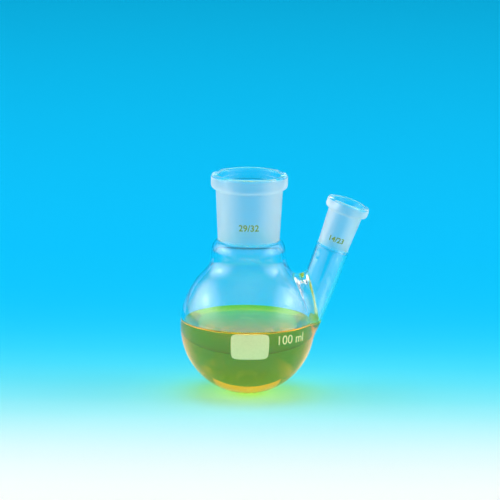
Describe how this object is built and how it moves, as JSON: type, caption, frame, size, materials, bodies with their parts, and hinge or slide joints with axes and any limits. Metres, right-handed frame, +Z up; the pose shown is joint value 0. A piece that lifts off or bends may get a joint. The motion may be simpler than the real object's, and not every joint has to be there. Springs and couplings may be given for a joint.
{
  "type": "two-neck pear-shaped flask",
  "caption": "Pear-shaped glass laboratory flask with an upright ground neck and a slanted ground side neck, part filled with a clear green liquid.",
  "frame": {"origin": "lowest point of the round bottom, on the centre neck's axis", "axes": "+Z up along the centre neck, +X towards the slanted side neck"},
  "size_m": [0.0889, 0.064, 0.106],
  "materials": {
    "borosilicate_glass": "clear, with finely frosted ground sockets",
    "green_liquid": "clear liquid"
  },
  "bodies": {
    "root": {"flask": "borosilicate_glass", "liquid": "green_liquid"}
  },
  "joints": []
}
